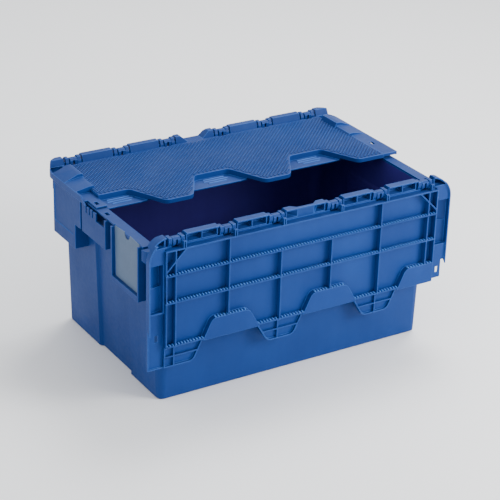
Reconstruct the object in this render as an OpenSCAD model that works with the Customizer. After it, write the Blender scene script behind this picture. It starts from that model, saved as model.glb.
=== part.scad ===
// Attached-lid storage crate: a tapered tub whose two interlocking lid leaves hinge on moulded pins.
// Origin at the centre of the tub's underside, +X along the length, +Z up.
// The front leaf (-Y) hangs open against the tub and the rear leaf (+Y) is shut.

/* [Overall] */
// Length over the lid skirts
crate_length = 600; // [596:1:604]
// Width over the lid leaves
crate_width = 400; // [398:1:401]
// Height of the stacking ridge, the highest point of the shut crate
crate_height = 309; // [308:0.5:310]
// Top of the lid plate
lid_top = 297; // [296.5:0.5:297.5]

/* [Tub] */
// Outside length at the base
base_length = 532; // [528:1:536]
// Outside width at the base
base_width = 344; // [340:1:348]
// Outside length of the tub under its rim
top_length = 550; // [548:1:552]
// Outside width of the tub under its rim
top_width = 368; // [366:1:369]
// Top of the tub's walls
wall_top = 283.5; // [282:0.5:283.5]
// Wall thickness of the tub
wall = 3; // [2.5:0.1:3.2]
// Corner radius of the base, in plan
base_corner = 12; // [8:1:20]
// Corner radius at the top, in plan
top_corner = 32; // [26:1:36]
// Depth of the shallow panel in each end wall
panel_depth = 5.5; // [3:0.5:6]

/* [Ends] */
// Distance of the handle, stop and label faces from the centre
end_face = 297; // [295:0.5:297]
// Depth of the end rim flange, outwards
rim_reach = 292; // [288:0.5:293]
// Lowest point of the nesting stops and label pockets
stop_bottom = 185; // [180:1:195]
// Lowest point of the hand grip
grip_bottom = 231; // [225:1:240]

/* [Lids] */
// Thickness of the lid plate
plate = 2.5; // [2:0.1:2.8]
// Depth of the stiffening ribs below the plate
rib_depth = 11; // [9:0.5:11]
// Thickness of the ribs
rib = 2.2; // [1.6:0.1:2.6]
// Reach of the tongues past the middle of the crate
tongue_reach = 36; // [30:1:38]
// Spacing of the tongues along the crate
tongue_pitch = 197; // [196:0.5:198]
// Drop of the ledges that carry the other leaf's tongues
ledge_drop = 10.5; // [10:0.25:10.5]

/* [Hinges] */
// Distance of the hinge pins from the middle of the crate
hinge_y = 187.5; // [187:0.25:188]
// Height of the hinge pins
hinge_z = 298.5; // [298.5:0.25:299]
// Radius of the hinge pins
pin_r = 3; // [2.5:0.1:3.5]
// Radial running clearance of the pins
pin_fit = 0.06; // [0.02:0.01:0.1]
// Half spacing of the inner, middle and outer hinge groups
group_x = [57.5, 151.3, 246.8];
// Width of the tub's lug in each hinge group
tub_lug = 14; // [12:0.5:14]
// Width of each lid lug
lid_lug = 6; // [4:0.5:7]

/* [Hidden] */
$fn = 48;

blue = "royalblue";
floor_t = 3;
corner_x = 240;      // the straight walls end here and the corner pieces start
corner_y = 148;
rim_top = wall_top + 3.5;
recess_y = [-68, 46]; // the shallow panel's two sides on the left end
recess_top = 225;
x_in = -250;         // the end fittings are cut back to the tub's outside from here
groups = concat([for (x = group_x) -x], group_x);
lug_gap = 0.5;
lug_room = 1;        // beside the tub's lug
slot_w = 3.5;

// Heights in the lid's own frame, whose origin is on the hinge pins, y inwards and z up
w_top = lid_top - hinge_z;
w_under = w_top - plate;
w_rib = w_under - rib_depth;
w_ledge = w_top - ledge_drop;
w_end = w_top - 6;           // top of the lower plates at the lid's two ends
w_skirt = wall_top + 2 - hinge_z;
w_ridge = crate_height - hinge_z;
v_edge = -(crate_width / 2 - hinge_y);
v_mid = hinge_y;
v_root = v_mid - tongue_reach;
v_tip = v_mid + tongue_reach;
v_foot = 6;                  // inner foot of the hinge ridge
lid_half = crate_length / 2;
plate_half = 270.5;
ridge_half = 266;
end_corner = 40;
skirt = 2.5;
rib_rows = [10, 55, 103.5];
rib_cols = [50.5, 151.5, 252];
tongue_ribs = [-252, -50.5, 151.5];
tab_hole = [283, 168, 6, 12]; // x, y inwards from the pins, width and length of the seal slot

// Arc points that round the corner b of the path a-b-c
function turn(a, b, c, r, n = 6) =
    let (
        u = (a - b) / norm(a - b),
        w = (c - b) / norm(c - b),
        half = acos(u * w) / 2,
        m = b + (u + w) / norm(u + w) * r / sin(half),
        p = b + u * r / tan(half),
        q = b + w * r / tan(half)
    )
    [for (i = [0:n]) let (s = p + (q - p) * i / n) m + (s - m) / norm(s - m) * r];

// One tongue's edge from its left root to its right root; the tongue ends at the plate's middle line x0
function tongue(x0) =
    let (
        yr = v_root, yt = v_tip,
        a = [x0 - tongue_pitch / 2 - 14, yr], b = [x0 - tongue_pitch / 2 + 28, yt],
        c = [x0 - 17.8, yt], d = [x0 + 16.5, yr]
    )
    concat(
        turn(a - [30, 0], a, b, 12), turn(a, b, c, 16),
        turn(b, c, d, 14), turn(c, d, d + [30, 0], 12)
    );

// The free edge of the plate: half a tongue at the left end, two whole ones, then a straight ledge stretch
function free_edge() =
    let (
        c = [-tongue_pitch - 17.8, v_tip],
        d = [-tongue_pitch + 16.5, v_root]
    )
    concat(
        [[-plate_half, v_tip]],
        turn([-plate_half, v_tip], c, d, 14),
        turn(c, d, d + [30, 0], 12),
        tongue(0), tongue(tongue_pitch),
        [[plate_half, v_root]]
    );

// The same line moved inwards by t
function inset_edge(p, t) =
    let (n = len(p))
    [for (i = [0:n - 1])
        let (
            d = p[min(i + 1, n - 1)] - p[max(i - 1, 0)],
            k = d / norm(d)
        )
        p[i] + [k[1], -k[0]] * t];

module rounded(lx, ly, r, h) {
    linear_extrude(h)
    union() {
        square([lx - 2 * r, ly], center = true);
        square([lx, ly - 2 * r], center = true);
        for (i = [-1, 1], j = [-1, 1])
            translate([i * (lx / 2 - r), j * (ly / 2 - r)]) circle(r, $fn = 32);
    }
}

// The tub's tapered outline, moved inwards by t
module tub_solid(t) {
    hull() {
        translate([0, 0, floor_t])
            rounded(base_length - 2 * t, base_width - 2 * t, base_corner - t / 2, 0.01);
        translate([0, 0, wall_top - 0.01])
            rounded(top_length - 2 * t, top_width - 2 * t, top_corner - t / 2, 0.01);
    }
}

// A box from two opposite corners
module span(a, b) {
    translate([min(a[0], b[0]), min(a[1], b[1]), min(a[2], b[2])])
        cube([abs(a[0] - b[0]), abs(a[1] - b[1]), abs(a[2] - b[2])]);
}

module both_ends() {
    children();
    rotate([0, 0, 180]) children();
}

// Space taken out of the left end of the tub over its middle, t further in
module end_recess(t) {
    difference() {
        span([-300, recess_y[0] - t, -1], [-200, recess_y[1] + t, recess_top + t]);
        tub_solid(panel_depth + t);
    }
}

// The tub's outside with both end recesses
module tub_outside() {
    difference() {
        tub_solid(0);
        both_ends() end_recess(0);
    }
}

module tub_floor() {
    color(blue)
    difference() {
        rounded(base_length, base_width, base_corner, floor_t);
        both_ends()
            span([-300, recess_y[0], -1], [-base_length / 2 + panel_depth, recess_y[1], floor_t + 1]);
    }
}

module side_wall(s) {
    color(blue)
    union() {
        intersection() {
            difference() {
                tub_solid(0);
                tub_solid(wall);
            }
            span([-corner_x, s * 120, 0], [corner_x, s * 200, 300]);
        }
        span([-corner_x, s * (top_width / 2 - 2), wall_top - 6],
             [corner_x, s * hinge_y, wall_top]);
    }
}

// The end wall steps inwards over its middle, below the hand grip
module end_wall() {
    color(blue)
    intersection() {
        difference() {
            tub_solid(0);
            end_recess(0);
            difference() {
                tub_solid(wall);
                end_recess(wall);
            }
        }
        span([-300, -corner_y, 0], [-200, corner_y, 300]);
    }
}

module tub_corners() {
    color(blue)
    for (i = [-1, 1], j = [-1, 1])
        intersection() {
            difference() {
                tub_solid(0);
                tub_solid(wall);
            }
            span([i * corner_x, j * corner_y, 0], [i * 300, j * 200, 300]);
        }
}

// Block under each lid corner, sloping back to the wall at its foot
module corner_block() {
    x0 = top_length / 2;
    color(blue)
    intersection() {
        rotate([90, 0, 0])
            translate([0, 0, -hinge_y + 10.3])
            linear_extrude(13.7)
            polygon([
                [x0 + 0.2, wall_top], [x0 + 0.2, 246], [x0 + 6, 250], [x0 + 20, 264], [x0 + 20, wall_top]
            ]);
        rounded(2 * (x0 + 20), 2 * hinge_y - 1, 24, 300);
    }
}

module corner_blocks() {
    both_ends() {
        corner_block();
        mirror([0, 1, 0]) corner_block();
    }
}

// One lug of the tub on top of the wall, bored for the pin and forked below its flat head
module hinge_lug() {
    translate([-tub_lug / 2, 0, 0])
        rotate([90, 0, 90])
        difference() {
            linear_extrude(tub_lug)
                union() {
                    circle(7.5);
                    polygon([
                        [-3.2, 8.3], [-7.3, 5], [-7.5, 0], [-4.6, -5.9], [-0.8, -9.3],
                        [3.2, wall_top - hinge_z], [6.2, wall_top - hinge_z], [7.5, -3], [7.3, 5], [3.2, 8.3]
                    ]);
                }
            translate([0, 0, -1]) cylinder(r = pin_r + pin_fit, h = tub_lug + 2);
            translate([-9, -9, tub_lug / 2 - 2]) cube([20, 14, 4]);
        }
}

module hinge_lugs() {
    color(blue)
    for (x = groups)
        translate([x, -hinge_y, hinge_z]) hinge_lug();
}

// Flange along the top of one end, with the two seal slots under the lid tabs
module end_rim() {
    y1 = 163;
    hole_y = hinge_y - tab_hole[1];
    color(blue)
    difference() {
        span([-rim_reach, -y1, wall_top], [-top_length / 2 + wall, y1, rim_top]);
        for (y = [[-153, -115], [-101, -62]])
            span([-rim_reach - 1, y[0], wall_top - 1], [-end_face + 6.5, y[1], rim_top + 1]);
        for (j = [-1, 1])
            translate([-tab_hole[0] - tab_hole[2] / 2, j * hole_y - tab_hole[3] / 2, wall_top - 10])
                cube([tab_hole[2], tab_hole[3], 20]);
    }
}

// Hollow hand grip, open below, with a notch in its face
module grip() {
    y0 = -39;
    y1 = 49;
    color(blue)
    difference() {
        span([-end_face, y0, grip_bottom], [x_in, y1, wall_top]);
        span([-end_face + wall, y0 + wall, grip_bottom - 1], [x_in + 1, y1 - wall, wall_top + 1]);
        tub_outside();
        span([-end_face - 1, -34, wall_top - 14], [-end_face + 4, -4, wall_top + 1]);
        for (y = [8, 20, 32])
            span([-end_face - 1, y - 2, wall_top - 13], [-end_face + 4, y + 2, wall_top + 1]);
    }
}

// Hollow stop that a nested crate rests on, open below and ribbed inside
module nest_stop() {
    color(blue)
    difference() {
        union() {
            span([-end_face, 76, stop_bottom], [x_in, 162.5, wall_top]);
            span([-end_face, 55, grip_bottom], [x_in, 76, wall_top]);
        }
        for (y = [79, 107.5, 136])
            span([-end_face + 3, y, stop_bottom - 1], [x_in, y + 25, wall_top - 3]);
        span([-end_face + 3, 58, grip_bottom - 1], [x_in, 74, wall_top - 3]);
        span([-end_face - 1, 84, 209], [-end_face + 1.2, 158, 279]);
        tub_outside();
    }
}

// Stop of the same form whose face carries a card between two side rails and a foot rail
module label_pocket() {
    xb = -end_face + 6.5;
    color(blue)
    difference() {
        span([-end_face, -156, stop_bottom], [x_in, -58, wall_top]);
        span([-end_face - 1, -152, 194], [xb, -63, wall_top + 1]);
        for (y = [-153, -121.5, -90])
            span([xb + 3, y, stop_bottom - 1], [x_in, y + 28.5, wall_top - 3]);
        tub_outside();
    }
}

// Loose card with a thumb notch, narrower at its foot
module label_card() {
    xb = -end_face + 6.2;
    color("lightsteelblue")
    translate([xb - 0.9, 0, 0])
        rotate([90, 0, 90])
        linear_extrude(0.9)
        difference() {
            polygon([[-149, 195], [-67, 195], [-63.5, 286], [-151.5, 286]]);
            translate([-108, 287]) circle(9);
        }
}

// Plate of a leaf with its tongues, its sunk ledges and the upright steps between them
module lid_panel() {
    edge = free_edge();
    inner = inset_edge(edge, 2);
    color(blue)
    union() {
        difference() {
            translate([0, 0, w_under])
                linear_extrude(plate)
                polygon(concat(edge, [[plate_half, v_foot], [-plate_half, v_foot]]));
            for (x = groups)
                span([x - tub_lug / 2 - lug_room, 0, w_rib], [x + tub_lug / 2 + lug_room, 9.5, 5]);
        }
        difference() {
            translate([0, 0, w_ledge - plate])
                linear_extrude(w_top - w_ledge + plate)
                polygon(concat(edge, [for (i = [len(inner) - 1:-1:0]) inner[i]]));
            span([-300, v_mid - 0.5, w_ledge - plate - 1], [300, v_tip + 1, w_top - 7.5]);
        }
        translate([0, 0, w_ledge - plate])
            linear_extrude(plate)
            difference() {
                translate([-tongue_pitch, v_root]) square([tongue_pitch + plate_half, v_mid - 0.5 - v_root]);
                polygon(concat(edge, [[plate_half, v_foot], [-plate_half, v_foot]]));
            }
    }
}

// What lies under the plate, inside its steps
module under_plate() {
    intersection() {
        children();
        translate([0, 0, w_rib - 1])
            linear_extrude(rib_depth + 2)
            polygon(concat(
                [[-plate_half, v_tip - 12]], inset_edge(free_edge(), 2),
                [[plate_half, rib_rows[0] - rib / 2], [-plate_half, rib_rows[0] - rib / 2]]
            ));
    }
}

// Ribs along the leaf: three full rows and two short ones on each tongue
module cross_ribs() {
    color(blue)
    under_plate() {
        for (y = rib_rows)
            span([-plate_half, y - rib / 2, w_rib], [plate_half, y + rib / 2, w_under]);
        for (x = tongue_ribs) {
            span([x - 70, v_mid - 3 - rib, w_rib], [x + 70, v_mid - 3, w_under]);
            span([x - 70, v_mid + 16, w_top - 7.5], [x + 70, v_mid + 16 + rib, w_under]);
        }
    }
}

// Ribs across the leaf, the frame at both ends and the two corner braces, cut through by the rows
module long_ribs() {
    y0 = rib_rows[0];
    color(blue)
    difference() {
        under_plate() {
            span([plate_half - rib, y0, w_rib], [plate_half, v_root, w_under]);
            span([-plate_half, y0, w_rib], [-plate_half + rib, v_mid - 2, w_under]);
            span([-plate_half, v_mid - 3, w_top - 7.5], [-plate_half + rib, v_tip, w_under]);
            for (x = [-rib_cols[2], -rib_cols[1], rib_cols[1], rib_cols[2]])
                span([x - rib / 2, y0, w_rib], [x + rib / 2, v_root, w_under]);
            for (x = [-rib_cols[0], rib_cols[0]])
                span([x - rib / 2, rib_rows[1], w_rib], [x + rib / 2, v_root, w_under]);
            for (x = tongue_ribs) {
                span([x - rib / 2, v_root - 5, w_rib], [x + rib / 2, v_mid - 2, w_under]);
                span([x - rib / 2, v_mid - 3, w_top - 7.5], [x + rib / 2, v_tip, w_under]);
            }
            for (i = [-1, 1])
                translate([i * plate_half, 48, w_rib])
                    rotate([0, 0, i * 45])
                    translate([i > 0 ? -55 : 0, -rib / 2, 0])
                    cube([55, rib, rib_depth]);
        }
        cross_ribs();
    }
}

// Section of the hollow ridge over the hinge, solid or as its hollow
ridge_out = [
    [v_edge, w_rib + 7.5], [v_edge, w_ridge - 4], [v_edge + 4, w_ridge], [3, w_ridge],
    [v_foot, w_top], [v_foot, w_under], [v_edge + skirt, w_under], [v_edge + skirt, w_rib + 7.5]
];
ridge_in = [
    [v_edge + skirt, w_under - 1], [v_edge + skirt, w_ridge - 4.5], [v_edge + skirt + 2, w_ridge - skirt],
    [1.3, w_ridge - skirt], [3.6, w_top], [3.6, w_under - 1]
];

module along_x(x0, x1) {
    translate([x0, 0, 0])
        rotate([90, 0, 90])
        linear_extrude(x1 - x0)
        children();
}

// A stretch of ridge with closed ends and one web
module ridge_part(x0, x1, web) {
    difference() {
        along_x(x0, x1) polygon(ridge_out);
        along_x(x0 + 2, web - 1) polygon(ridge_in);
        along_x(web + 1, x1 - 2) polygon(ridge_in);
    }
}

module lid_lug() {
    difference() {
        along_x(0, lid_lug)
            union() {
                circle(6);
                polygon([
                    [-9, -6], [-9, 7], [-6.5, 9.5], [2.5, 9.5], [v_foot, 0], [v_foot, w_under], [-3, -6.8]
                ]);
            }
        span([-1, v_foot, w_under - 4], [lid_lug + 1, v_foot + 4, w_top]);
    }
}

// Small arch under the leaf that keeps the lug from lifting
module hook() {
    difference() {
        span([0, -3, w_rib + 0.6], [5.2, rib_rows[0] - rib / 2, w_under]);
        span([1.6, -1.5, w_rib - 1], [3.6, rib_rows[0], w_under]);
        span([-1, -4, -9], [7, 3.5, 9]);
        rotate([0, 90, 0]) cylinder(r = 8.3, h = 20, center = true);
    }
}

// What is cut away above the low gap in the middle of the ridge and its two ramps, sunk by t
module above_gap(t) {
    gap = 16;
    ramp = 14;
    along_x(-gap, gap)
        polygon([
            [v_edge - 1, w_top - t], [v_edge - 1, w_ridge + 1],
            [v_foot + 1, w_ridge + 1], [v_foot + 1, w_top - t]
        ]);
    for (i = [-1, 1])
        translate([i * gap, 0, w_top - t])
            rotate([0, i * -atan((w_ridge - w_top) / ramp), 0])
            translate([i > 0 ? 0 : -40, v_edge - 1, 0])
            cube([40, 30, 30]);
}

module centre_ridge(x1) {
    difference() {
        along_x(-x1, x1) polygon(ridge_out);
        above_gap(0);
        difference() {
            union() {
                along_x(-x1 + 2, -1) polygon(ridge_in);
                along_x(1, x1 - 2) polygon(ridge_in);
            }
            above_gap(skirt);
        }
    }
}

module lid_ridge() {
    inner = tub_lug / 2 + lug_room + lug_gap;
    half_group = inner + lid_lug + slot_w;
    color(blue)
    union() {
        for (i = [-1, 1]) {
            x1 = group_x[0] + half_group;
            x2 = group_x[1] - half_group;
            x3 = group_x[1] + half_group;
            x4 = group_x[2] - half_group;
            ridge_part(min(i * x1, i * x2), max(i * x1, i * x2), i * (x1 + x2) / 2);
            ridge_part(min(i * x3, i * x4), max(i * x3, i * x4), i * (x3 + x4) / 2);
        }
        centre_ridge(group_x[0] - half_group);
        for (x = groups) {
            translate([x - inner - lid_lug, 0, 0]) lid_lug();
            translate([x + inner, 0, 0]) lid_lug();
            translate([x - inner, 0, 0]) rotate([0, 90, 0]) cylinder(r = pin_r, h = 2 * inner);
            translate([x + tub_lug / 2 + 1.6, 0, 0]) hook();
        }
    }
}

// Plan of a lid end: from the plate's side to the skirt, with the rounded hinge corner, moved in by t
module end_plan(t, x0, y1) {
    r = end_corner - t;
    xc = lid_half - end_corner;
    yc = v_edge + end_corner;
    union() {
        translate([x0, yc]) square([lid_half - t - x0, y1 - yc]);
        intersection() {
            translate([xc, yc]) circle(r, $fn = 96);
            translate([x0, yc - r - 1]) square([r + 10, r + 1.5]);
        }
    }
}

module along_y(y0, y1) {
    translate([0, y1, 0])
        rotate([90, 0, 0])
        linear_extrude(y1 - y0)
        children();
}

// Wedge-shaped stacking block whose roof falls to the skirt
module end_block(y0, y1, top) {
    difference() {
        along_y(y0, y1)
            polygon([
                [261, w_end - plate], [261, w_top], [265, top], [273, top],
                [lid_half, w_top], [lid_half, w_end - plate]
            ]);
        span([260, y0 - 1, w_rib], [plate_half, y1 + 1, w_top]);
    }
}

module block_hollow(y0, y1, top) {
    along_y(y0, y1)
        polygon([
            [273, w_end - plate - 1], [273, top - 3], [lid_half - skirt, w_top - 2.6],
            [lid_half - skirt, w_end - plate - 1]
        ]);
}

// Flat plate at the tongue's end of a leaf, reaching as far as the tongue, with its edge turned down
module long_plate() {
    span([plate_half, 120, w_top - plate], [lid_half, v_tip, w_top]);
    span([plate_half, v_tip - 2, w_top - 5.5], [lid_half, v_tip, w_top]);
    span([lid_half - skirt, 140, w_top - 6], [lid_half, v_tip, w_top]);
}

// The right end of a leaf: sunk plate, skirt, corner ridge and stacking blocks, ending in the low slotted
// tab or, at the tongue's end, in the long plate that covers the other leaf's tab
module lid_end(long) {
    y_skirt = 150;
    color(blue)
    difference() {
        union() {
            difference() {
                translate([0, 0, w_end - plate])
                    linear_extrude(plate)
                    end_plan(skirt, plate_half, long ? 121 : y_skirt);
                span([200, -20, -20], [301, v_foot, 20]);
            }
            if (long) long_plate();
            else span([plate_half, y_skirt - 0.5, w_end - plate], [291, v_mid - 3.5, w_end]);
            difference() {
                translate([0, 0, w_skirt])
                    linear_extrude(w_top - w_skirt)
                    difference() {
                        end_plan(0, ridge_half, y_skirt + 8);
                        end_plan(skirt, ridge_half - 1, y_skirt + 20);
                    }
                span([200, -20, -20], [301, -2, w_rib + 7.5]);
                translate([lid_half, y_skirt + 8, w_skirt])
                    rotate([55, 0, 0])
                    translate([-10, 0, -20]) cube([20, 30, 40]);
            }
            corner_ridge();
            intersection() {
                span([ridge_half, v_foot - skirt, w_end - plate], [lid_half, v_foot + 0.5, w_top]);
                translate([0, 0, -20]) linear_extrude(40) end_plan(0, ridge_half, v_foot + 5);
            }
            end_block(30, 77, w_ridge - 1);
            end_block(76.5, 121, w_top + 5);
        }
        block_hollow(32.5, 74.5, w_ridge - 1);
        block_hollow(74, 118.5, w_top + 5);
        translate([tab_hole[0] - tab_hole[2] / 2, tab_hole[1] - tab_hole[3] / 2, -20])
            cube([tab_hole[2], tab_hole[3], 40]);
    }
}

// The ridge carried on round the corner of the leaf
module corner_ridge() {
    difference() {
        intersection() {
            along_x(ridge_half, lid_half) polygon(ridge_out);
            translate([0, 0, -20]) linear_extrude(50) end_plan(0, ridge_half, v_foot + 1);
        }
        intersection() {
            along_x(ridge_half + skirt, lid_half) polygon(ridge_in);
            translate([0, 0, -20]) linear_extrude(50) end_plan(skirt, ridge_half, v_foot + 1);
        }
    }
}

module lid_left_end() {
    mirror([1, 0, 0]) lid_end(true);
}

// Places a leaf on the front pins, turned open by the given angle
module front_leaf(angle) {
    translate([0, -hinge_y, hinge_z]) rotate([angle, 0, 0]) children();
}

module rear_leaf() {
    rotate([0, 0, 180]) translate([0, -hinge_y, hinge_z]) children();
}

module tub_front_wall() { side_wall(-1); }
module tub_rear_wall() { side_wall(1); }
module tub_left_wall() { end_wall(); }
module tub_right_wall() { rotate([0, 0, 180]) end_wall(); }
module front_hinge_lugs() { hinge_lugs(); }
module rear_hinge_lugs() { rotate([0, 0, 180]) hinge_lugs(); }
module left_rim() { end_rim(); }
module right_rim() { rotate([0, 0, 180]) end_rim(); }
module left_grip() { grip(); }
module right_grip() { rotate([0, 0, 180]) grip(); }
module left_nest_stop() { nest_stop(); }
module right_nest_stop() { rotate([0, 0, 180]) nest_stop(); }
module left_label_pocket() { label_pocket(); }
module right_label_pocket() { rotate([0, 0, 180]) label_pocket(); }
module front_lid_panel() { front_leaf(270) lid_panel(); }
module front_lid_cross_ribs() { front_leaf(270) cross_ribs(); }
module front_lid_long_ribs() { front_leaf(270) long_ribs(); }
module front_lid_ridge() { front_leaf(270) lid_ridge(); }
module front_lid_left_end() { front_leaf(270) lid_left_end(); }
module front_lid_right_end() { front_leaf(270) lid_end(false); }
module rear_lid_panel() { rear_leaf() lid_panel(); }
module rear_lid_cross_ribs() { rear_leaf() cross_ribs(); }
module rear_lid_long_ribs() { rear_leaf() long_ribs(); }
module rear_lid_ridge() { rear_leaf() lid_ridge(); }
module rear_lid_left_end() { rear_leaf() lid_end(false); }
module rear_lid_right_end() { rear_leaf() lid_left_end(); }

tub_floor();
tub_front_wall();
tub_rear_wall();
tub_left_wall();
tub_right_wall();
tub_corners();
corner_blocks();
front_hinge_lugs();
rear_hinge_lugs();
left_rim();
right_rim();
left_grip();
right_grip();
left_nest_stop();
right_nest_stop();
left_label_pocket();
right_label_pocket();
label_card();
front_lid_panel();
front_lid_cross_ribs();
front_lid_long_ribs();
front_lid_ridge();
front_lid_left_end();
front_lid_right_end();
rear_lid_panel();
rear_lid_cross_ribs();
rear_lid_long_ribs();
rear_lid_ridge();
rear_lid_left_end();
rear_lid_right_end();
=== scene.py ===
import math
import bmesh
import bpy
from mathutils import Matrix, Vector


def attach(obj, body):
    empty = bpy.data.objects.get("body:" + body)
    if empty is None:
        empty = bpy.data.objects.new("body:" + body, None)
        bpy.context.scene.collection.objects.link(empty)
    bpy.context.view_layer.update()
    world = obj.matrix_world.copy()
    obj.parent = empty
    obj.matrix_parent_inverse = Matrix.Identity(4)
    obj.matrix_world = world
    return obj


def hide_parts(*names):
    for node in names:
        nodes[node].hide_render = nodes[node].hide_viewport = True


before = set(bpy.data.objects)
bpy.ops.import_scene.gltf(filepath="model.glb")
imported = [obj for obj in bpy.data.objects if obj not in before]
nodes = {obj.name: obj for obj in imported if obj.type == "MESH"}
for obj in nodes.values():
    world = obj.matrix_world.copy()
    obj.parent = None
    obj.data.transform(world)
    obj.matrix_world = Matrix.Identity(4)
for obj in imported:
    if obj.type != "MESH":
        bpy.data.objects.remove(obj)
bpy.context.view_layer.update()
mm = 0.001


def fromMm(*p):
    return Vector(p) * mm


# lengths of the camera are in mm, those of the lights and the floor in metres
camera = {
    "azimuth": -31.99, "elevation": 25.3, "roll": 1.71, "lens": 121.1, "sensor": 36.0,
    "target": (12.4, 0.0, 146.05), "distance": 3024.8, "clip": (0.1, 60),
}


def placeCamera(s):
    a, e, r = (math.radians(s[k]) for k in ("azimuth", "elevation", "roll"))
    back = Vector((math.sin(a) * math.cos(e), -math.cos(a) * math.cos(e), math.sin(e)))
    side = Vector((math.cos(a), math.sin(a), 0))
    up = back.cross(side)
    camX = side * math.cos(r) + up * math.sin(r)
    camY = up * math.cos(r) - side * math.sin(r)
    camData = bpy.data.cameras.new("studioCamera")
    camData.lens, camData.sensor_width = s["lens"], s["sensor"]
    camData.clip_start, camData.clip_end = s["clip"]
    cam = bpy.data.objects.new("studioCamera", camData)
    turn = Matrix((camX, camY, back)).transposed().to_4x4()
    cam.matrix_world = Matrix.Translation(fromMm(*s["target"]) + back * s["distance"] * mm) @ turn
    bpy.context.scene.collection.objects.link(cam)
    bpy.context.scene.camera = cam


lamps = {
    "keyLight": {"place": (1.35, -1.5, 1.05), "aim": (0.1, 0, 0.15), "size": 0.9, "power": 50},
    "topLight": {"place": (1.2, 0.9, 2.6), "aim": (0, 0, 0.2), "size": 1.2, "power": 60},
    "fillLight": {"place": (-2.4, -0.8, 0.9), "aim": (0, 0, 0.15), "size": 2.0, "power": 4},
}


def areaLight(name, s):
    lamp = bpy.data.lights.new(name, "AREA")
    lamp.shape, lamp.size, lamp.energy = "SQUARE", s["size"], s["power"]
    obj = bpy.data.objects.new(name, lamp)
    obj.location = s["place"]
    obj.rotation_euler = (Vector(s["aim"]) - obj.location).to_track_quat("-Z", "Y").to_euler()
    bpy.context.scene.collection.objects.link(obj)


room = {
    "floorColour": (0.97, 0.975, 0.98), "floorRoughness": 0.6, "floorReach": 6, "floorDrop": 0.0005,
    "skyColour": (0.95, 0.97, 1.0), "skyStrength": 1.15,
}


def makeRoom(s):
    paper = bpy.data.materials.new("floorPaper")
    paper.use_nodes = True
    shader = paper.node_tree.nodes["Principled BSDF"]
    shader.inputs["Base Color"].default_value = (*s["floorColour"], 1)
    shader.inputs["Roughness"].default_value = s["floorRoughness"]
    bm = bmesh.new()
    bmesh.ops.create_grid(bm, x_segments=1, y_segments=1, size=s["floorReach"])
    mesh = bpy.data.meshes.new("floor")
    bm.to_mesh(mesh)
    bm.free()
    mesh.materials.append(paper)
    floor = bpy.data.objects.new("floor", mesh)
    floor.location.z = -s["floorDrop"]
    bpy.context.scene.collection.objects.link(floor)
    world = bpy.data.worlds.new("studioRoom")
    bpy.context.scene.world = world
    world.use_nodes = True
    sky = world.node_tree.nodes["Background"]
    sky.inputs["Color"].default_value = (*s["skyColour"], 1)
    sky.inputs["Strength"].default_value = s["skyStrength"]


placeCamera(camera)
makeRoom(room)
for lampName, settings in lamps.items():
    areaLight(lampName, settings)
print("camera, floor and lights are placed")


def newGroup(name, kind, inputs, outputs):
    # an empty shader or geometry group with its named sockets
    tree = bpy.data.node_groups.new(name, kind)
    for way, sockets in (("INPUT", inputs), ("OUTPUT", outputs)):
        for label, socket in sockets.items():
            tree.interface.new_socket(name=label, in_out=way, socket_type="NodeSocket" + socket)
    return tree, tree.nodes.new("NodeGroupInput").outputs, tree.nodes.new("NodeGroupOutput").inputs


def put(tree, kind, inputs=None, **settings):
    # adds one node; an input is a value or another node's output
    node = tree.nodes.new(kind)
    for key, value in settings.items():
        setattr(node, key, value)
    for key, value in (inputs or {}).items():
        if isinstance(value, bpy.types.NodeSocket):
            tree.links.new(value, node.inputs[key])
        else:
            node.inputs[key].default_value = value
    return node


def mathNode(tree, operation, *values, clamp=False):
    node = put(tree, "ShaderNodeMath", dict(enumerate(values)), operation=operation, use_clamp=clamp)
    return node.outputs[0]


def vectorNode(tree, operation, first, second):
    return put(tree, "ShaderNodeVectorMath", {0: first, 1: second}, operation=operation).outputs[0]


def noise(tree, vector, scale, detail, roughness=0.5):
    return put(tree, "ShaderNodeTexNoise", {
        "Vector": vector, "Scale": scale, "Detail": detail, "Roughness": roughness,
    }).outputs[0]


def mixColour(tree, amount, first, second):
    return put(tree, "ShaderNodeMix", {0: amount, 6: first, 7: second}, data_type="RGBA").outputs[2]


def ramp(tree, value, low, high):
    return put(tree, "ShaderNodeMapRange", {0: value, 1: low, 2: high, 3: 0.0, 4: 1.0}).outputs[0]


def edgeMask(tree):
    # faces that softenEdges, markLight or tubShell has marked; they get the painted edge highlight
    return put(tree, "ShaderNodeAttribute", attribute_name="edgeLight").outputs["Fac"]


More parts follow.
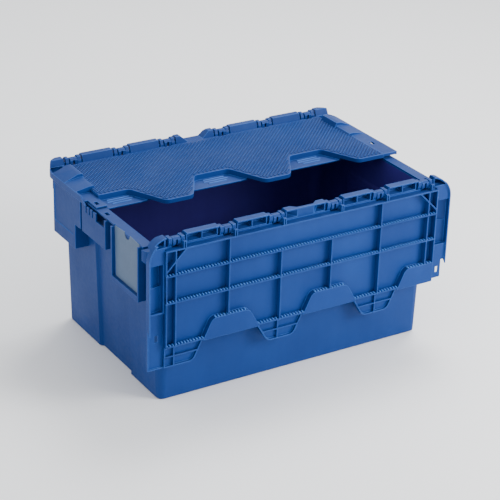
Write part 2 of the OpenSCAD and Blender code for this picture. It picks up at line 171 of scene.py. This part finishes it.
def buildMouldTone():
    # slow drift of the pigment, flow marks along the walls, and a painted highlight on the marked edges mixed
    # with pale rub wear
    tree, given, result = newGroup("mouldTone", "ShaderNodeTree", {
        "Vector": "Vector", "Base Color": "Color", "Deep Color": "Color", "Rub And Highlight Color": "Color",
        "Drift Scale": "Float", "Flow Amount": "Float", "Edge Light": "Float", "Rub Amount": "Float",
        "Roughness": "Float",
    }, {"Color": "Color", "Roughness": "Float"})
    place = given["Vector"]
    drift = noise(tree, place, given["Drift Scale"], 3.0)
    flow = noise(tree, vectorNode(tree, "MULTIPLY", place, (60, 60, 7)), 1.0, 4.0)
    tone = mathNode(tree, "MULTIPLY", ramp(tree, flow, 0.35, 0.7), given["Flow Amount"])
    tone = mathNode(tree, "ADD", tone, ramp(tree, drift, 0.3, 0.75), clamp=True)
    body = mixColour(tree, tone, given["Base Color"], given["Deep Color"])
    scuff = ramp(tree, noise(tree, place, 55.0, 5.0), 0.45, 0.72)
    litAndRubbed = mathNode(tree, "MULTIPLY", scuff, given["Rub Amount"])
    # the Edge Light constant is a painted highlight on every marked face; the scuff noise adds real rub wear
    litAndRubbed = mathNode(tree, "ADD", given["Edge Light"], litAndRubbed)
    amount = mathNode(tree, "MULTIPLY", edgeMask(tree), litAndRubbed, clamp=True)
    tree.links.new(mixColour(tree, amount, body, given["Rub And Highlight Color"]), result["Color"])
    spread = mathNode(tree, "MULTIPLY_ADD", noise(tree, place, 140.0, 2.0), 0.16, -0.08)
    dull = mathNode(tree, "MULTIPLY_ADD", tone, 0.08, given["Roughness"])
    tree.links.new(mathNode(tree, "ADD", spread, dull), result["Roughness"])
    return tree


def buildMouldGrain():
    # spark-eroded tool texture: fine pits over a soft orange peel
    tree, given, result = newGroup("mouldGrain", "ShaderNodeTree", {
        "Vector": "Vector", "Pit Scale": "Float", "Peel Scale": "Float", "Pit Share": "Float",
    }, {"Height": "Float"})
    pits = noise(tree, given["Vector"], given["Pit Scale"], 2.0)
    peel = noise(tree, given["Vector"], given["Peel Scale"], 3.0)
    height = mathNode(tree, "ADD", mathNode(tree, "MULTIPLY", pits, given["Pit Share"]), peel)
    tree.links.new(height, result["Height"])
    return tree


def buildFallenDust():
    # thin grey dust that only lies on faces looking up
    tree, given, result = newGroup("fallenDust", "ShaderNodeTree", {
        "Vector": "Vector", "Color": "Color", "Dust Color": "Color", "Amount": "Float",
    }, {"Color": "Color"})
    normal = put(tree, "ShaderNodeNewGeometry").outputs["Normal"]
    upward = put(tree, "ShaderNodeSeparateXYZ", {0: normal}).outputs[2]
    patches = ramp(tree, noise(tree, given["Vector"], 16.0, 6.0, 0.7), 0.35, 0.8)
    dust = mathNode(tree, "MULTIPLY", ramp(tree, upward, 0.4, 0.95), patches)
    dust = mathNode(tree, "MULTIPLY", dust, given["Amount"])
    tree.links.new(mixColour(tree, dust, given["Color"], given["Dust Color"]), result["Color"])
    return tree


mouldTone, mouldGrain, fallenDust = buildMouldTone(), buildMouldGrain(), buildFallenDust()

# values that every moulded colour shares unless it says otherwise
moulding = {
    # edge is the painted highlight on every marked face; rubs is the rub wear added on top of it
    "flow": 0.25, "edge": 0.5, "rubs": 0.35, "dust": 0.06, "bump": 0.25, "bumpDepth": 0.0006,
    "driftScale": 9.0, "pitScale": 900.0, "peelScale": 90.0, "pitShare": 0.6, "specular": 0.2,
    "dustColour": (0.42, 0.45, 0.5),
}

plastics = {
    "tubBlue": {"base": (0.002, 0.036, 0.19), "deep": (0.0015, 0.028, 0.155), "rubAndHighlight": (0.02, 0.1, 0.38),
                "rough": 0.52},
    "lidBlue": {"base": (0.0015, 0.039, 0.205), "deep": (0.001, 0.03, 0.168), "rubAndHighlight": (0.035, 0.15, 0.52),
                "rough": 0.5},
    "treadBlue": {"base": (0.0015, 0.038, 0.2), "deep": (0.001, 0.03, 0.165), "rubAndHighlight": (0.035, 0.14, 0.46),
                  "rough": 0.45, "bump": 0.1},
    # darker navy for the inside walls: painted shade inside the tub
    "insideShadeNavy": {"base": (0.03, 0.022, 0.2), "deep": (0.024, 0.017, 0.165), "rubAndHighlight": (0.05, 0.1, 0.35),
                   "rough": 0.55, "dust": 0.02},
    # a lighter copy of the lid blue: painted highlight on the rib beads
    "litBeadBlue": {"base": (0.004, 0.07, 0.3), "deep": (0.003, 0.06, 0.26), "rubAndHighlight": (0.07, 0.25, 0.72),
                 "rough": 0.45, "bump": 0.1},
}


def mouldedPlastic(name, own):
    s = {**moulding, **own}
    mat = bpy.data.materials.new(name)
    mat.use_nodes = True
    tree = mat.node_tree
    shader = tree.nodes["Principled BSDF"]
    place = put(tree, "ShaderNodeTexCoord").outputs["Object"]
    tone = put(tree, "ShaderNodeGroup", {
        "Vector": place, "Base Color": (*s["base"], 1), "Deep Color": (*s["deep"], 1),
        "Rub And Highlight Color": (*s["rubAndHighlight"], 1), "Drift Scale": s["driftScale"], "Flow Amount": s["flow"],
        "Edge Light": s["edge"], "Rub Amount": s["rubs"], "Roughness": s["rough"],
    }, node_tree=mouldTone)
    dusty = put(tree, "ShaderNodeGroup", {
        "Vector": place, "Color": tone.outputs["Color"], "Dust Color": (*s["dustColour"], 1),
        "Amount": s["dust"],
    }, node_tree=fallenDust)
    grain = put(tree, "ShaderNodeGroup", {
        "Vector": place, "Pit Scale": s["pitScale"], "Peel Scale": s["peelScale"], "Pit Share": s["pitShare"],
    }, node_tree=mouldGrain)
    relief = put(tree, "ShaderNodeBump", {
        "Strength": s["bump"], "Distance": s["bumpDepth"], "Height": grain.outputs["Height"],
    })
    tree.links.new(dusty.outputs["Color"], shader.inputs["Base Color"])
    tree.links.new(tone.outputs["Roughness"], shader.inputs["Roughness"])
    tree.links.new(relief.outputs["Normal"], shader.inputs["Normal"])
    shader.inputs["Specular IOR Level"].default_value = s["specular"]
    return mat


cardBoard = {
    "base": (0.062, 0.112, 0.2), "deep": (0.054, 0.098, 0.18), "fibre": (0.13, 0.175, 0.26),
    "rim": (0.3, 0.36, 0.44), "fibreAmount": 0.35, "rimAmount": 0.6, "roughness": (0.5, 0.2),
    "fibreDraw": (300, 1400, 260), "cloudScale": 26.0, "bump": 0.2, "bumpDepth": 0.0003,
}


def printedCard(name, s):
    # dull grey-blue card with faint fibres and a slightly paler rubbed rim
    mat = bpy.data.materials.new(name)
    mat.use_nodes = True
    tree = mat.node_tree
    shader = tree.nodes["Principled BSDF"]
    place = put(tree, "ShaderNodeTexCoord").outputs["Object"]
    fibres = noise(tree, vectorNode(tree, "MULTIPLY", place, s["fibreDraw"]), 1.0, 5.0)
    cloud = ramp(tree, noise(tree, place, s["cloudScale"], 3.0), 0.3, 0.7)
    body = mixColour(tree, cloud, (*s["base"], 1), (*s["deep"], 1))
    drawn = mathNode(tree, "MULTIPLY", ramp(tree, fibres, 0.45, 0.75), s["fibreAmount"])
    body = mixColour(tree, drawn, body, (*s["fibre"], 1))
    worn = mathNode(tree, "MULTIPLY", edgeMask(tree), s["rimAmount"])
    tree.links.new(mixColour(tree, worn, body, (*s["rim"], 1)), shader.inputs["Base Color"])
    relief = put(tree, "ShaderNodeBump", {
        "Strength": s["bump"], "Distance": s["bumpDepth"], "Height": fibres,
    })
    tree.links.new(relief.outputs["Normal"], shader.inputs["Normal"])
    least, spread = s["roughness"]
    tree.links.new(mathNode(tree, "MULTIPLY_ADD", fibres, spread, least), shader.inputs["Roughness"])
    return mat


paint = {name: mouldedPlastic(name, own) for name, own in plastics.items()}
paint["cardGrey"] = printedCard("cardGrey", cardBoard)
print("materials are made")


def bakedMesh(obj):
    # the object's mesh with its modifiers applied; the object itself goes
    result = bpy.data.meshes.new_from_object(obj.evaluated_get(bpy.context.evaluated_depsgraph_get()))
    bpy.data.objects.remove(obj)
    return result


def evenNormals(mesh):
    # flat faces stay flat and the roundings carry the shading
    obj = bpy.data.objects.new("evenNormals", mesh)
    bpy.context.scene.collection.objects.link(obj)
    mesh.shade_smooth()
    mod = obj.modifiers.new("weights", "WEIGHTED_NORMAL")
    mod.weight, mod.keep_sharp = 60, False
    return bakedMesh(obj)


def softenEdges(bm, width, segments=2, sharpAngle=32, flatAngle=0.8):
    # rounds the sharp edges and marks the new faces, so that the material paints a highlight on them
    bmesh.ops.remove_doubles(bm, verts=bm.verts, dist=0.002 * mm)
    bmesh.ops.dissolve_limit(bm, angle_limit=math.radians(flatAngle), verts=bm.verts, edges=bm.edges)
    least = math.radians(sharpAngle)
    sharp = [e for e in bm.edges if len(e.link_faces) == 2 and e.calc_face_angle(0) > least]
    layer = bm.faces.layers.float.new("edgeLight")
    made = bmesh.ops.bevel(bm, geom=sharp, offset=width * mm, offset_type="OFFSET", segments=segments,
                           profile=0.5, affect="EDGES", clamp_overlap=False)
    for face in made["faces"]:
        face[layer] = 1.0


def meshFrom(bm, name):
    mesh = bpy.data.meshes.new(name)
    bm.to_mesh(mesh)
    bm.free()
    return mesh


def finishPiece(name, mesh, body, paintName, stands=()):
    # hands a finished mesh in metres to its body
    if not mesh.materials:
        mesh.materials.append(paint[paintName])
    obj = bpy.data.objects.new(name, mesh)
    bpy.context.scene.collection.objects.link(obj)
    if stands:
        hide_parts(*stands)
    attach(obj, body)


def mouldedCopy(name, body, width, *source):
    # a copy of the frame's own solids with rounded edges
    bm = bmesh.new()
    for node in source:
        bm.from_mesh(nodes[node].data)
    softenEdges(bm, width)
    colour = "tubBlue" if body == "tub" else "lidBlue"
    finishPiece(name, evenNormals(meshFrom(bm, name)), body, colour, source)


# the rounding of each copied piece in mm, and the solids that it copies
tubCopies = {
    "cornerBlocks": (0.6, "corner_blocks"),
    "frontHingeLugs": (0.5, "front_hinge_lugs"), "rearHingeLugs": (0.5, "rear_hinge_lugs"),
    "leftRim": (0.6, "left_rim"), "rightRim": (0.6, "right_rim"),
    "leftGrip": (0.6, "left_grip"), "rightGrip": (0.6, "right_grip"),
    "leftNestStop": (0.8, "left_nest_stop"), "rightNestStop": (0.8, "right_nest_stop"),
    "leftLabelPocket": (0.6, "left_label_pocket"), "rightLabelPocket": (0.6, "right_label_pocket"),
}
lidCopies = {
    "LidPlate": (0.5, "_panel"), "LidRidge": (0.5, "_ridge"),
    "LidLeftEnd": (0.5, "_left_end"), "LidRightEnd": (0.5, "_right_end"),
    "LidRibs": (0.35, "_cross_ribs", "_long_ribs"),
}

for pieceName, (rounding, *solids) in tubCopies.items():
    mouldedCopy(pieceName, "tub", rounding, *solids)
for side in ("front", "rear"):
    lid = side + "_lid"
    for pieceName, (rounding, *endings) in lidCopies.items():
        mouldedCopy(side + pieceName, lid, rounding, *(lid + ending for ending in endings))
print("moulded copies are made")


shell = {
    "base": (532, 344, 12), "top": (550, 368, 32), "height": 283.4, "wall": 3.0,
    "footRadius": 2.5, "footRecess": 1.6, "footInsets": (15, 14, 12.5), "insideRadius": 8, "turnSteps": 5,
    "rimRadius": 0.8, "leastRadius": 1.5, "cornerSteps": 10, "levels": (40, 80, 120, 160, 200),
    "lastLevel": 255,
    "panelDepth": 5.5, "panelSides": (-68, 46), "panelTop": 225, "panelEdge": 3.5,
}
blendSteps = (-1, -0.5, 0, 0.5, 1)  # places across a blended edge, in halves of its width


def easeStep(value):
    t = min(max(value, 0.0), 1.0)
    return t * t * (3 - 2 * t)


def shellRing(s, z, inset):
    # one level of the tapered box, with the shallow panel pressed into both ends
    k = z / s["height"]
    length, width, radius = (a + (b - a) * k for a, b in zip(s["base"], s["top"]))
    hx, hy, radius = length / 2 - inset, width / 2 - inset, max(radius - inset, s["leastRadius"])
    low, high = s["panelSides"]
    edge = s["panelEdge"]
    half = []
    for y in sorted(-q - edge * f for q in (low, high) for f in blendSteps):
        inside = easeStep((-y - low + edge) / (2 * edge)) * easeStep((high + edge + y) / (2 * edge))
        depth = s["panelDepth"] * inside * easeStep((s["panelTop"] + edge - z) / (2 * edge))
        half.append((hx - depth, y, z))
    for x, start in ((hx - radius, 0), (radius - hx, 90)):
        for i in range(s["cornerSteps"] + 1):
            a = math.radians(start + 90 * i / s["cornerSteps"])
            half.append((x + radius * math.cos(a), hy - radius + radius * math.sin(a), z))
    return half + [(-x, -y, z) for x, y, z in half]


def shellLevels(s):
    # heights and insets of the rings: under the foot, up the outside, over the rim and down the inside
    radius, top, wall, rim, inner = s["footRadius"], s["height"], s["wall"], s["rimRadius"], s["insideRadius"]
    turns = [math.radians(90 * i / s["turnSteps"]) for i in range(s["turnSteps"] + 1)]
    heights = [*s["levels"], *(s["panelTop"] + s["panelEdge"] * f for f in blendSteps), s["lastLevel"]]
    outside = [(z, inset) for z, inset in zip((s["footRecess"], s["footRecess"], 0), s["footInsets"])]
    outside += [(radius - radius * math.cos(a), radius - radius * math.sin(a)) for a in turns]
    outside += [(z, 0) for z in heights + [top - rim]]
    outside += [(top - 0.25 * rim, 0.25 * rim), (top, rim), (top, wall - rim)]
    inside = [(top - rim, wall)] + [(z, wall) for z in heights[::-1]]
    inside += [(wall + inner - inner * math.sin(a), wall + inner - inner * math.cos(a)) for a in turns]
    return outside, inside


def tubShell(s):
    outside, inside = shellLevels(s)
    bm = bmesh.new()
    loops = [[bm.verts.new(fromMm(*p)) for p in shellRing(s, z, inset)] for z, inset in outside + inside]
    for lower, upper in zip(loops, loops[1:]):
        for i in range(len(lower)):
            j = (i + 1) % len(lower)
            bm.faces.new((lower[i], lower[j], upper[j], upper[i]))
    bm.faces.new(loops[0][::-1])
    bm.faces.new(loops[-1])
    bmesh.ops.recalc_face_normals(bm, faces=bm.faces)
    # the rim's top faces get the painted edge highlight, with rub wear from the material's scuff noise
    layer = bm.faces.layers.float.new("edgeLight")
    rimFrom = (s["height"] - s["rimRadius"]) * mm
    for face in bm.faces:
        onRim = face.calc_center_median().z > rimFrom and face.normal.z > 0.2
        face[layer] = 1.0 if onRim else 0.0
    # the inside walls take the darker navy as painted shade
    for loop in loops[len(outside) + 1:]:
        for face in {f for vert in loop for f in vert.link_faces}:
            face.material_index = 1
    mesh = meshFrom(bm, "tubShell")
    mesh.materials.append(paint["tubBlue"])
    mesh.materials.append(paint["insideShadeNavy"])
    walls = ["tub_" + end + "_wall" for end in ("front", "rear", "left", "right")]
    finishPiece("tubShell", evenNormals(mesh), "tub", "tubBlue", ["tub_floor", *walls, "tub_corners"])


tubShell(shell)
print("tub shell is made")


def nodeTree(name, inputs):
    # an empty geometry tree that takes a mesh and a material besides its own inputs
    taken = {"Geometry": "Geometry", **inputs, "Material": "Material"}
    tree, given, result = newGroup(name, "GeometryNodeTree", taken, {"Geometry": "Geometry"})
    return tree, given, result["Geometry"]


def markLight(tree, geometry, selection, amount):
    # tells the material which faces get the painted highlight
    return put(tree, "GeometryNodeStoreNamedAttribute", {
        "Geometry": geometry, "Selection": selection, "Name": "edgeLight", "Value": amount,
    }, data_type="FLOAT", domain="FACE").outputs[0]


def finishTree(tree, geometry, material, result):
    real = put(tree, "GeometryNodeRealizeInstances", {"Geometry": geometry}).outputs[0]
    done = put(tree, "GeometryNodeSetMaterial", {"Geometry": real, "Material": material}).outputs[0]
    tree.links.new(done, result)


def growMesh(name, mesh, tree, values):
    # runs a tree on a mesh and returns the plain result
    obj = bpy.data.objects.new(name + "Base", mesh)
    bpy.context.scene.collection.objects.link(obj)
    mod = obj.modifiers.new("grow", "NODES")
    mod.node_group = tree
    for item in tree.interface.items_tree:
        if item.in_out == "INPUT" and item.name in values:
            mod[item.identifier] = values[item.name]
    made = bakedMesh(obj)
    made.name = name
    return made


def buildTreadLattice():
    # low diamond studs on a turned square lattice, kept where they lie over the given faces, with a painted
    # highlight on their tops
    tree, given, result = nodeTree("treadLattice", {
        "Pitch": "Float", "Stud Radius": "Float", "Top Radius": "Float", "Stud Height": "Float",
        "Stud Stretch": "Vector", "Reach": "Float", "Top Light": "Float",
    })
    count = mathNode(tree, "DIVIDE", given["Reach"], given["Pitch"])
    grid = put(tree, "GeometryNodeMeshGrid", {
        "Size X": given["Reach"], "Size Y": given["Reach"], "Vertices X": count, "Vertices Y": count,
    }).outputs[0]
    turn = (0, 0, math.radians(45))
    turned = put(tree, "GeometryNodeTransform", {"Geometry": grid, "Rotation": turn}).outputs[0]
    box = put(tree, "GeometryNodeBoundBox", {"Geometry": given["Geometry"]}).outputs
    middle = vectorNode(tree, "ADD", box["Min"], box["Max"])
    middle = vectorNode(tree, "MULTIPLY", middle, (0.5, 0.5, 0.5))
    moved = put(tree, "GeometryNodeSetPosition", {"Geometry": turned, "Offset": middle}).outputs[0]
    place = put(tree, "GeometryNodeInputPosition").outputs[0]
    above = vectorNode(tree, "ADD", place, (0, 0, 10 * mm))
    hit = put(tree, "GeometryNodeRaycast", {
        "Target Geometry": given["Geometry"], "Source Position": above, "Ray Direction": (0, 0, -1),
        "Ray Length": 50 * mm,
    }).outputs["Is Hit"]
    missed = put(tree, "FunctionNodeBooleanMath", {0: hit}, operation="NOT").outputs[0]
    kept = put(tree, "GeometryNodeDeleteGeometry", {"Geometry": moved, "Selection": missed}, domain="POINT")
    stud = put(tree, "GeometryNodeMeshCone", {
        "Vertices": 4, "Side Segments": 1, "Radius Top": given["Top Radius"],
        "Radius Bottom": given["Stud Radius"], "Depth": given["Stud Height"],
    }).outputs
    # the stud tops get the painted highlight
    lit = markLight(tree, stud[0], stud["Top"], given["Top Light"])
    longer = put(tree, "GeometryNodeTransform", {"Geometry": lit, "Scale": given["Stud Stretch"]}).outputs[0]
    spread = put(tree, "GeometryNodeInstanceOnPoints", {"Points": kept.outputs[0], "Instance": longer})
    finishTree(tree, spread.outputs[0], given["Material"], result)
    return tree


def buildBeadRow():
    # small beads at even steps along each line, all marked for the painted highlight
    tree, given, result = nodeTree("beadRow", {"Step": "Float", "Bead Size": "Vector", "Light": "Float"})
    line = put(tree, "GeometryNodeMeshToCurve", {"Mesh": given["Geometry"]}).outputs[0]
    points = put(tree, "GeometryNodeCurveToPoints", {"Curve": line, "Length": given["Step"]}, mode="LENGTH")
    bead = put(tree, "GeometryNodeMeshIcoSphere", {"Radius": 1.0, "Subdivisions": 1}).outputs[0]
    spread = put(tree, "GeometryNodeInstanceOnPoints", {
        "Points": points.outputs[0], "Instance": bead, "Scale": given["Bead Size"],
    }).outputs[0]
    real = put(tree, "GeometryNodeRealizeInstances", {"Geometry": spread}).outputs[0]
    finishTree(tree, markLight(tree, real, True, given["Light"]), given["Material"], result)
    return tree


def buildRaisedLine():
    # a round raised line along each edge, half sunk in the face that carries it, all marked for the painted
    # highlight
    tree, given, result = nodeTree("raisedLine", {"Line Radius": "Float", "Sides": "Int", "Light": "Float"})
    line = put(tree, "GeometryNodeMeshToCurve", {"Mesh": given["Geometry"]}).outputs[0]
    profile = put(tree, "GeometryNodeCurvePrimitiveCircle", {
        "Resolution": given["Sides"], "Radius": given["Line Radius"],
    }).outputs[0]
    tube = put(tree, "GeometryNodeCurveToMesh", {
        "Curve": line, "Profile Curve": profile, "Fill Caps": True,
    }).outputs[0]
    finishTree(tree, markLight(tree, tube, True, given["Light"]), given["Material"], result)
    return tree


treadLattice, beadRow, raisedLine = buildTreadLattice(), buildBeadRow(), buildRaisedLine()


# both leaves in their own frame: x along the hinge, y from the pins to the tongues, z up when shut
leaf = {
    "hingeY": 187.5, "hingeZ": 298.5, "plateTop": -1.5, "ledgeTop": -12.0, "plateHalf": 270.5,
    "middle": 187.5, "reach": 36.0, "tonguePitch": 197.0, "ribRows": (55, 103.5), "ribWidth": 2.2,
    "riseFrom": -14, "riseTo": 28, "fallFrom": -17.8, "fallTo": 16.5,
    "rootRadius": 12, "riseRadius": 16, "fallRadius": 14, "rootRun": 30,
}


def leafTurn(side):
    # the rear leaf lies shut, the front one hangs open from its pins
    if side == "rear":
        turn, place = Matrix(((-1, 0, 0), (0, -1, 0), (0, 0, 1))), (0, leaf["hingeY"], leaf["hingeZ"])
    else:
        turn, place = Matrix(((1, 0, 0), (0, 0, 1), (0, -1, 0))), (0, -leaf["hingeY"], leaf["hingeZ"])
    return Matrix.Translation(fromMm(*place)) @ turn.to_4x4()


def roundTurn(a, b, c, radius, steps=6):
    # an arc that rounds the corner b between a and c
    a, b, c = (Vector(p) for p in (a, b, c))
    u, w = (a - b).normalized(), (c - b).normalized()
    half = u.angle(w) / 2
    centre = b + (u + w).normalized() * radius / math.sin(half)
    p, q = b + u * radius / math.tan(half), b + w * radius / math.tan(half)
    return [centre + (p + (q - p) * i / steps - centre).normalized() * radius for i in range(steps + 1)]


def freeEdge(s):
    # the tongued edge: a corner tongue at the left, then one tongue for each pitch
    root, tip = s["middle"] - s["reach"], s["middle"] + s["reach"]
    half, pitch = s["plateHalf"], s["tonguePitch"]
    points = [Vector((-half, tip))]
    for x in (-pitch, 0, pitch):
        rise, top = (x - pitch / 2 + s["riseFrom"], root), (x - pitch / 2 + s["riseTo"], tip)
        fall, foot = (x + s["fallFrom"], tip), (x + s["fallTo"], root)
        if x == -pitch:
            top = (-half, tip)
        else:
            points += roundTurn((rise[0] - s["rootRun"], root), rise, top, s["rootRadius"])
            points += roundTurn(rise, top, fall, s["riseRadius"])
        points += roundTurn(top, fall, foot, s["fallRadius"])
        points += roundTurn(fall, foot, (foot[0] + s["rootRun"], root), s["rootRadius"])
    return points + [Vector((half, root))]


def insetLine(points, t):
    result = []
    for i, p in enumerate(points):
        d = (points[min(i + 1, len(points) - 1)] - points[max(i - 1, 0)]).normalized()
        result.append(p + Vector((d.y, -d.x)) * t)
    return result


def crossings(edge, y):
    # where the free edge crosses a line along the leaf
    found = []
    for p, q in zip(edge, edge[1:]):
        if (p.y - y) * (q.y - y) < 0:
            found.append(p.x + (q.x - p.x) * (y - p.y) / (q.y - p.y))
    return sorted(found)


def lineMesh(lines):
    # pairs of end points, in mm, as loose edges in metres
    mesh = bpy.data.meshes.new("lines")
    points = [fromMm(*p) for line in lines for p in line]
    mesh.from_pydata(points, [(2 * i, 2 * i + 1) for i in range(len(lines))], [])
    return mesh


def finishLeafPiece(side, name, mesh, paintName):
    mesh.transform(leafTurn(side))
    finishPiece(side + name, mesh, side + "_lid", paintName)


tread = {
    "margin": 3.4, "sideMargin": 1.5, "start": 13.8, "pitch": 5.6, "reach": 640,
    "studRadius": 3.0, "topRadius": 1.25, "height": 1.3, "stretch": (1.0, 1.25, 1.0), "topLight": 0.9,
}


def treadRegion(s, t):
    # the faces that carry the studs, half a stud's height above the plate
    edge = insetLine(freeEdge(s), t["margin"])
    half = s["plateHalf"] - t["sideMargin"]
    outline = [(-half, t["start"]), (-half, edge[0].y), *(tuple(p) for p in edge[:-1])]
    outline += [(half, edge[-1].y), (half, t["start"])]
    bm = bmesh.new()
    face = bm.faces.new([bm.verts.new(fromMm(x, y, s["plateTop"] + t["height"] / 2)) for x, y in outline])
    bmesh.ops.triangulate(bm, faces=[face])
    return meshFrom(bm, "treadRegion")


def growTread(side, t):
    studs = growMesh(side + "Tread", treadRegion(leaf, t), treadLattice, {
        "Pitch": t["pitch"] * mm, "Stud Radius": t["studRadius"] * mm, "Top Radius": t["topRadius"] * mm,
        "Stud Height": t["height"] * mm, "Stud Stretch": Vector(t["stretch"]), "Reach": t["reach"] * mm,
        "Top Light": t["topLight"], "Material": paint["treadBlue"],
    })
    finishLeafPiece(side, "Tread", studs, "treadBlue")


ledges = {
    "centres": (-146, 50, 238), "rows": (158, 166, 174), "halfLengths": (21, 24, 18),
    "lineRadius": 1.5, "sides": 8, "light": 1.0,
}


def growLedgeLines(side, s):
    # three raised lines on each sunk ledge, painted with the highlight colour
    z = leaf["ledgeTop"]
    rows = list(zip(s["rows"], s["halfLengths"]))
    marks = [((x - half, y, z), (x + half, y, z)) for x in s["centres"] for y, half in rows]
    lines = growMesh(side + "LedgeLines", lineMesh(marks), raisedLine, {
        "Line Radius": s["lineRadius"] * mm, "Sides": s["sides"], "Light": s["light"],
        "Material": paint["lidBlue"],
    })
    lines.shade_smooth()
    finishLeafPiece(side, "LedgeLines", lines, "lidBlue")


beads = {
    "step": 5.6, "size": (1.35, 1.9, 4.6), "depth": -9.8, "light": 2.0, "sideMargin": 4, "edgeInset": 3.5,
    "middleInset": 3, "rootSpans": ((-175, -118), (22, 79), (218, 266.5)),
}


def beadLines(s):
    # beads follow the long ribs, the skirt at the tongues' middle line and the root of each gap
    width = leaf["ribWidth"]
    half = leaf["plateHalf"] - s["sideMargin"]
    rows = [(-half, half, y - width / 2) for y in leaf["ribRows"]]
    middle = leaf["middle"] - s["middleInset"] - width
    cuts = [-half, *crossings(insetLine(freeEdge(leaf), s["edgeInset"]), middle)]
    rows += [(a, b, middle) for a, b in zip(cuts[0::2], cuts[1::2])]
    rows += [(a, b, leaf["middle"] - leaf["reach"] - width) for a, b in s["rootSpans"]]
    return [((a, y, s["depth"]), (b, y, s["depth"])) for a, b, y in rows]


def growRibBeads(side, s):
    dots = growMesh(side + "RibBeads", lineMesh(beadLines(s)), beadRow, {
        "Step": s["step"] * mm, "Bead Size": fromMm(*s["size"]), "Light": s["light"],
        "Material": paint["litBeadBlue"],
    })
    dots.shade_smooth()
    finishLeafPiece(side, "RibBeads", dots, "litBeadBlue")


card = {
    "outline": ((-149, 195), (-67, 195), (-63.5, 286), (-151.5, 286)), "cornerRadius": 3.0,
    "notchAfter": 2, "notch": (-108, 287, 9), "notchSteps": 16,
    "front": -291.7, "thickness": 0.9, "rounding": 0.12,
}


def thumbNotch(s, topZ):
    # a round notch whose two ends stand a little above the card's top corners
    y, z, r = s["notch"]
    rise = math.asin((z - topZ) / r)
    shares = [k / s["notchSteps"] for k in range(s["notchSteps"] + 1)]
    turns = [math.pi - rise + (math.pi + 2 * rise) * share for share in shares]
    return [Vector((y - r * math.cos(a), z + r * math.sin(a))) for a in turns]


def labelCard(s):
    # stiff printed-board card with rounded corners and a thumb notch in its top edge
    corners = [Vector(p) for p in s["outline"]]
    outline = []
    for i, corner in enumerate(corners):
        outline += roundTurn(corners[i - 1], corner, corners[(i + 1) % len(corners)], s["cornerRadius"])
        if i == s["notchAfter"]:
            outline += thumbNotch(s, corner.y)
    bm = bmesh.new()
    face = bm.faces.new([bm.verts.new(fromMm(s["front"], y, z)) for y, z in outline])
    moved = bmesh.ops.extrude_face_region(bm, geom=[face])["geom"]
    back = [v for v in moved if isinstance(v, bmesh.types.BMVert)]
    bmesh.ops.translate(bm, vec=fromMm(s["thickness"], 0, 0), verts=back)
    bmesh.ops.recalc_face_normals(bm, faces=bm.faces)
    softenEdges(bm, s["rounding"], segments=1)
    mesh = evenNormals(meshFrom(bm, "labelCard"))
    finishPiece("labelCard", mesh, "tub", "cardGrey", ["label_card"])


webs = {
    "groups": (57.5, 151.3, 246.8), "from": 14.8, "to": 17.7, "y": (-186.6, -184.1), "z": (282.5, 301.0),
    "rounding": 0.4,
}


def hingeWebs(side, s):
    # low webs on the wall's top that close the view through the slots beside each hinge group
    bm = bmesh.new()
    size = fromMm(s["to"] - s["from"], s["y"][1] - s["y"][0], s["z"][1] - s["z"][0])
    middleX, middleY, middleZ = (sum(span) / 2 for span in ((s["from"], s["to"]), s["y"], s["z"]))
    for x in (group * way for group in s["groups"] for way in (-1, 1)):
        for shift in (-middleX, middleX):
            place = Matrix.Translation(fromMm(x + shift, middleY, middleZ))
            bmesh.ops.create_cube(bm, size=1, matrix=place @ Matrix.Diagonal((*size, 1)))
    if side == "rear":
        bmesh.ops.rotate(bm, verts=bm.verts, matrix=Matrix.Rotation(math.pi, 3, "Z"))
    softenEdges(bm, s["rounding"])
    name = side + "HingeWebs"
    finishPiece(name, evenNormals(meshFrom(bm, name)), "tub", "tubBlue")


labelCard(card)
for side in ("front", "rear"):
    hingeWebs(side, webs)
print("card and hinge webs are made")
for side in ("front", "rear"):
    growTread(side, tread)
    growLedgeLines(side, ledges)
    growRibBeads(side, beads)
print("treads, ledge lines and rib beads are grown")
